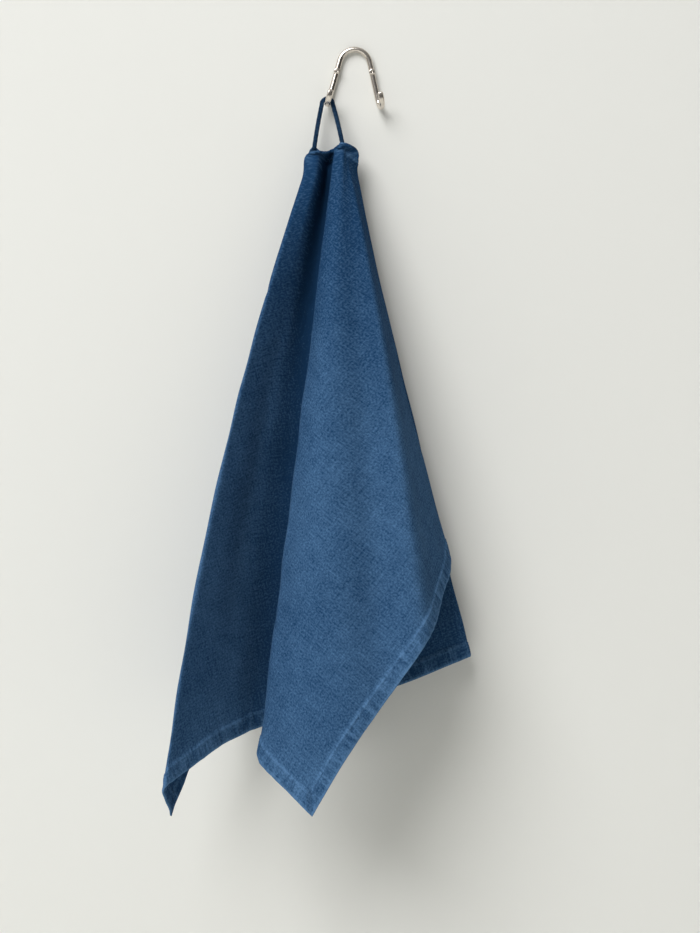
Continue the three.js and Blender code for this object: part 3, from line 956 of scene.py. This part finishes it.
class MakeLoop(bpy.types.Operator):
    """Make the sewn tape that the towel hangs by"""

    bl_idname = "tea_towel.make_loop"
    bl_label = "Make Hanging Loop"

    def execute(self, context):
        loop, sizes = context.scene.loop_sizes, context.scene.towel_sizes
        line = tape_line(loop)
        along = np.gradient(line, axis=0)
        along /= np.linalg.norm(along, axis=1, keepdims=True)
        run = np.concatenate([[0], np.cumsum(np.linalg.norm(np.diff(line, axis=0), axis=1))])
        wide, thick = loop.wide / MM, loop.thick / MM
        verts, flat, wear_and_shade = [], [], []
        for at, forward, done in zip(line, along, run):
            side = np.cross(forward, (0, 1, 0))
            side /= np.linalg.norm(side)
            back = np.cross(forward, side)
            for i in range(TAPE_SIDES):
                turn = 2 * math.pi * i / TAPE_SIDES
                across, deep = math.cos(turn), math.sin(turn)
                reach = tape_reach(across, deep, done)
                verts.append(at + side * across * reach * wide / 2 + back * deep * reach * thick / 2)
                flat.append((done * MM, turn / math.pi * wide * MM))
                wear_and_shade.append(0.5 * math.exp(-((abs(across) - 1) / 0.16) ** 2))
        faces = tube_faces(len(line), TAPE_SIDES)
        deep, pale = ([TAPE_SHARE * part for part in tint] for tint in (sizes.deep, sizes.pale))
        material = cloth_material("Blue tape", deep, pale, TAPE_FADING)
        tape = outwards(new_object("loop_tape", verts, faces, material))
        set_uv(tape.data, flat)
        set_values(tape.data, "wear_and_shade", wear_and_shade)
        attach(tape, "root")
        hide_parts("hanging_loop")
        return {"FINISHED"}


class MakeHook(bpy.types.Operator):
    """Make the hook's bent bar and its two screw heads"""

    bl_idname = "tea_towel.make_hook"
    bl_label = "Make Wall Hook"

    def execute(self, context):
        hook = context.scene.hook_sizes
        material = nickel_material("Polished nickel", hook.metal)
        stations = arm_stations(RIGHT_ARM)[::-1] + arm_stations(LEFT_ARM)[1:]
        verts, faces = sweep(stations, bar_section())
        bar = outwards(new_object("hook_bar", [tilt(vert) for vert in verts], faces, material))
        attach(bar, "root")
        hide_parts("hook")
        beside = ARCH_RADIUS * math.cos(LEG_SPREAD)
        beside += (SCREW_DROP - ARCH_RADIUS * (1 - math.sin(LEG_SPREAD))) * math.tan(LEG_SPREAD)
        for name, hand in (("screw_left", -1), ("screw_right", 1)):
            centre = np.array([hand * beside, BAR_FLAT - BAR + SCREW_SINK, -SCREW_DROP])
            screw = outwards(self.turned(name + "_head", centre, screw_profile(hook), material))
            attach(screw, "root")
            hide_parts(name)
        return {"FINISHED"}

    @staticmethod
    def turned(name, centre, profile, material):
        """A head turned from its profile, facing the room."""
        verts = [tilt(centre + np.array([0, -profile[0][1], 0]))]
        rings = profile[1:-1]
        for reach, high in rings:
            for i in range(SCREW_SIDES):
                turn = 2 * math.pi * i / SCREW_SIDES
                spot = np.array([reach * math.cos(turn), -high, reach * math.sin(turn)])
                verts.append(tilt(centre + spot))
        verts.append(tilt(centre + np.array([0, -profile[-1][1], 0])))
        faces = []
        for i in range(SCREW_SIDES):
            after = (i + 1) % SCREW_SIDES
            faces.append((0, 1 + i, 1 + after))
            for j in range(len(rings) - 1):
                a, b = 1 + j * SCREW_SIDES + i, 1 + j * SCREW_SIDES + after
                faces.append((a, a + SCREW_SIDES, b + SCREW_SIDES, b))
            last = 1 + (len(rings) - 1) * SCREW_SIDES
            faces.append((last + i, len(verts) - 1, last + after))
        return new_object(name, verts, faces, material)


class DeclareCloth(bpy.types.Operator):
    """Does nothing."""

    bl_idname = "tea_towel.declare_cloth"
    bl_label = "Declare Cloth"

    def execute(self, context):
        return {"FINISHED"}


class MakeStage(bpy.types.Operator):
    """Make the camera, the light and a plain pale backdrop"""

    bl_idname = "tea_towel.make_stage"
    bl_label = "Make Stage"

    def execute(self, context):
        looks = context.scene.stage_looks
        material = stage_material("Pale backdrop", looks.backdrop)
        left, right, behind = -BACKDROP_SIDE, BACKDROP_SIDE, BACKDROP_BEHIND
        back = [(left, behind, FLOOR), (right, behind, FLOOR),
                (right, behind, BACKDROP_TOP), (left, behind, BACKDROP_TOP)]
        ground = [(left, behind, FLOOR), (left, FLOOR_FRONT, FLOOR),
                  (right, FLOOR_FRONT, FLOOR), (right, behind, FLOOR)]
        backdrop = new_object("backdrop", back, [(0, 1, 2, 3)], material, smooth=False)
        plain = new_object("floor", ground, [(0, 1, 2, 3)], material, smooth=False)
        data = bpy.data.lights.new("key_light", "AREA")
        data.shape = "DISK"
        data.size = KEY_SIZE
        data.energy = looks.key
        light = bpy.data.objects.new("key_light", data)
        light.location = KEY_PLACE
        aim = np.array(KEY_AIM) - np.array(light.location)
        light.rotation_euler = (
            math.acos(-aim[2] / np.linalg.norm(aim)), 0, math.atan2(aim[1], aim[0]) - math.pi / 2)
        context.scene.collection.objects.link(light)
        context.scene.world = self.surround(looks.surround)
        context.scene.view_settings.view_transform = "Standard"
        camera_data = bpy.data.cameras.new("camera")
        camera_data.sensor_fit = "VERTICAL"
        camera_data.angle = 2 * math.atan(HALF_VIEW / -CAMERA_PLACE[1])
        camera = bpy.data.objects.new("camera", camera_data)
        camera.location = CAMERA_PLACE
        camera.rotation_euler = (math.pi / 2, 0, 0)
        context.scene.collection.objects.link(camera)
        context.scene.camera = camera
        return {"FINISHED"}

    @staticmethod
    def surround(strength):
        """Soft light from all round, brightest at the upper left and dark straight ahead."""
        world = bpy.data.worlds.new("Soft surround")
        world.use_nodes = True
        tree = world.node_tree
        where = add_node(tree, "ShaderNodeTexCoord").outputs["Generated"]

        def bright(towards, low, high, least, most):
            share = add_node(tree, "ShaderNodeVectorMath", {0: where, 1: towards},
                             operation="DOT_PRODUCT").outputs["Value"]
            return add_node(tree, "ShaderNodeMapRange", {0: share, 1: low, 2: high, 3: least, 4: most},
                            interpolation_type="SMOOTHSTEP").outputs[0]

        lit = bright((-0.62, -0.2, 0.75), -0.6, 0.9, 0.12, 2.1)
        level = math_node(tree, "MULTIPLY", lit, bright((0.15, -0.98, -0.1), 0.8, 0.98, 1.0, 0.4))
        feed(tree, tree.nodes["Background"], {
            "Color": (1, 1, 1, 1), "Strength": math_node(tree, "MULTIPLY", level, strength)})
        return world


class TowelPanel(bpy.types.Panel):
    """Lists the towel's pieces and their sizes"""

    bl_idname = "VIEW3D_PT_tea_towel"
    bl_label = "Tea Towel"
    bl_space_type = "VIEW_3D"
    bl_region_type = "UI"
    bl_category = "Tea Towel"

    def draw(self, context):
        layout = self.layout
        for maker in MAKERS:
            layout.operator(maker.bl_idname)
        for name in GROUPS:
            group = getattr(context.scene, name)
            box = layout.box()
            for key in group.bl_rna.properties.keys():
                if key not in ("rna_type", "name"):
                    box.prop(group, key)


GROUPS = {
    "towel_sizes": TowelSizes,
    "loop_sizes": LoopSizes,
    "hook_sizes": HookSizes,
    "stage_looks": StageLooks,
}
MAKERS = (MakeStage, MakeTowel, MakeStitches, MakeLoop, MakeHook, DeclareCloth)


def register():
    for kind in (*GROUPS.values(), *MAKERS, TowelPanel):
        bpy.utils.register_class(kind)
    for name, kind in GROUPS.items():
        setattr(bpy.types.Scene, name, bpy.props.PointerProperty(type=kind))


def unregister():
    for name in GROUPS:
        delattr(bpy.types.Scene, name)
    for kind in reversed((*GROUPS.values(), *MAKERS, TowelPanel)):
        bpy.utils.unregister_class(kind)


def main():
    register()
    bpy.ops.tea_towel.make_stage()
    bpy.ops.tea_towel.make_towel()
    bpy.ops.tea_towel.make_stitches()
    bpy.ops.tea_towel.make_loop()
    bpy.ops.tea_towel.make_hook()
    bpy.ops.tea_towel.declare_cloth()


if __name__ == "__main__":
    main()
